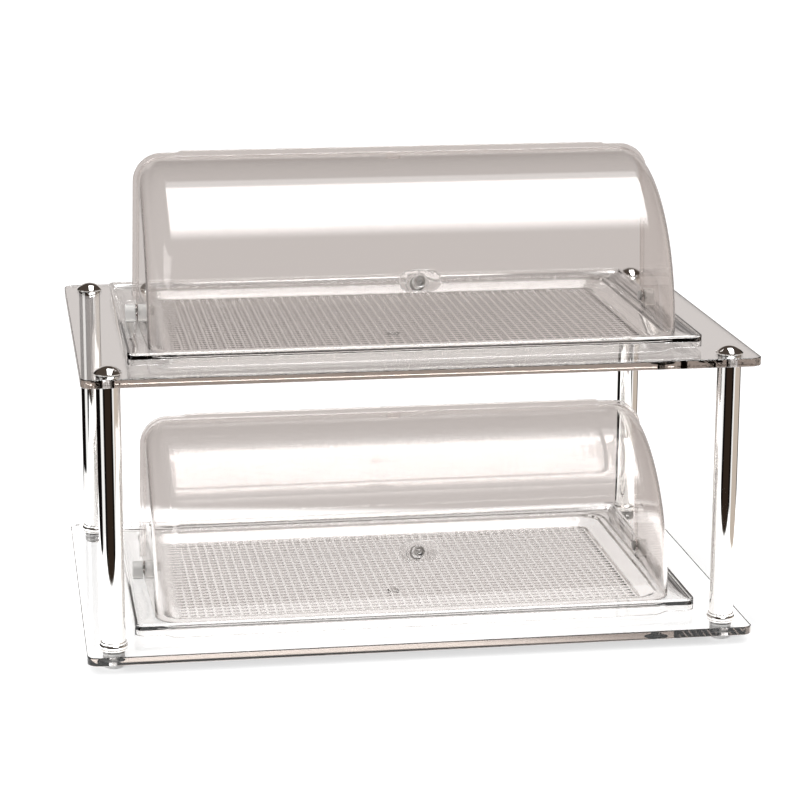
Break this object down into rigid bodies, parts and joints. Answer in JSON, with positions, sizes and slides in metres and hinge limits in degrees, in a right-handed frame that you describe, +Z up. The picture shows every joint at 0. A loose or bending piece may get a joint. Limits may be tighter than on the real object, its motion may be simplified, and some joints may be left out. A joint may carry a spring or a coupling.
{
  "type": "countertop bread display bin",
  "caption": "Two-tier countertop bread display: clear shelves on polished posts, each with a clear tray under a roll-top quarter-round hood that tips back on side pivots.",
  "frame": {"origin": "middle of the footprint, at the level that the feet stand on", "axes": "+X to the right across the width, +Y to the open back, +Z up; the front faces -Y"},
  "size_m": [0.62, 0.42, 0.4467],
  "materials": {
    "clear_shelf": "clear polished sheet with bright cut edges",
    "clear_tray": "clear moulded plastic with a fine waffle pattern on the floor",
    "clear_hood": "clear moulded plastic, very glossy, warm grey in its thickness",
    "clear_knob": "clear moulded plastic, glossy",
    "polished_tube": "mirror-polished tube",
    "polished_fitting": "turned and mirror-polished",
    "plain_steel": "plain zinc-coated steel",
    "milky_plastic": "translucent milky white plastic",
    "foot_pad": "pale soft plastic",
    "washer": "thin white gasket"
  },
  "bodies": {
    "stand": {"lower_shelf": "clear_shelf", "upper_shelf": "clear_shelf", "post_front_left": "polished_tube", "post_front_right": "polished_tube", "post_rear_left": "polished_tube", "post_rear_right": "polished_tube", "tie_rod_front_left": "plain_steel", "tie_rod_front_right": "plain_steel", "tie_rod_rear_left": "plain_steel", "tie_rod_rear_right": "plain_steel", "cap_nut_front_left": "polished_fitting", "cap_nut_front_right": "polished_fitting", "cap_nut_rear_left": "polished_fitting", "cap_nut_rear_right": "polished_fitting", "base_collar_front_left": "polished_fitting", "base_collar_front_right": "polished_fitting", "base_collar_rear_left": "polished_fitting", "base_collar_rear_right": "polished_fitting", "foot_front_left": "foot_pad", "foot_front_right": "foot_pad", "foot_rear_left": "foot_pad", "foot_rear_right": "foot_pad"},
    "lower_tray_unit": {"lower_tray": "clear_tray", "lower_bearing_left": "milky_plastic", "lower_bearing_right": "milky_plastic", "lower_pivot_pin_left": "milky_plastic", "lower_pivot_pin_right": "milky_plastic"},
    "lower_hood_unit": {"lower_hood": "clear_hood", "lower_knob": "clear_knob", "lower_knob_washer": "washer", "lower_knob_screw": "plain_steel"},
    "upper_tray_unit": {"upper_tray": "clear_tray", "upper_bearing_left": "milky_plastic", "upper_bearing_right": "milky_plastic", "upper_pivot_pin_left": "milky_plastic", "upper_pivot_pin_right": "milky_plastic"},
    "upper_hood_unit": {"upper_hood": "clear_hood", "upper_knob": "clear_knob", "upper_knob_washer": "washer", "upper_knob_screw": "plain_steel"}
  },
  "joints": [
    {"name": "lower_tray_slide", "type": "slide", "parent": "stand", "child": "lower_tray_unit", "axis": [0, -1, 0], "range_m": [0, 0.38]},
    {"name": "upper_tray_lift", "type": "slide", "parent": "stand", "child": "upper_tray_unit", "axis": [0, 0, 1], "range_m": [0, 0.12]},
    {"name": "lower_hood_hinge", "type": "hinge", "parent": "lower_tray_unit", "child": "lower_hood_unit", "pos_m": [0.001, -0.0128, 0.038], "axis": [-1, 0, 0], "range_deg": [0, 90]},
    {"name": "upper_hood_hinge", "type": "hinge", "parent": "upper_tray_unit", "child": "upper_hood_unit", "pos_m": [-0.0015, -0.0208, 0.296], "axis": [-1, 0, 0], "range_deg": [0, 90]}
  ]
}
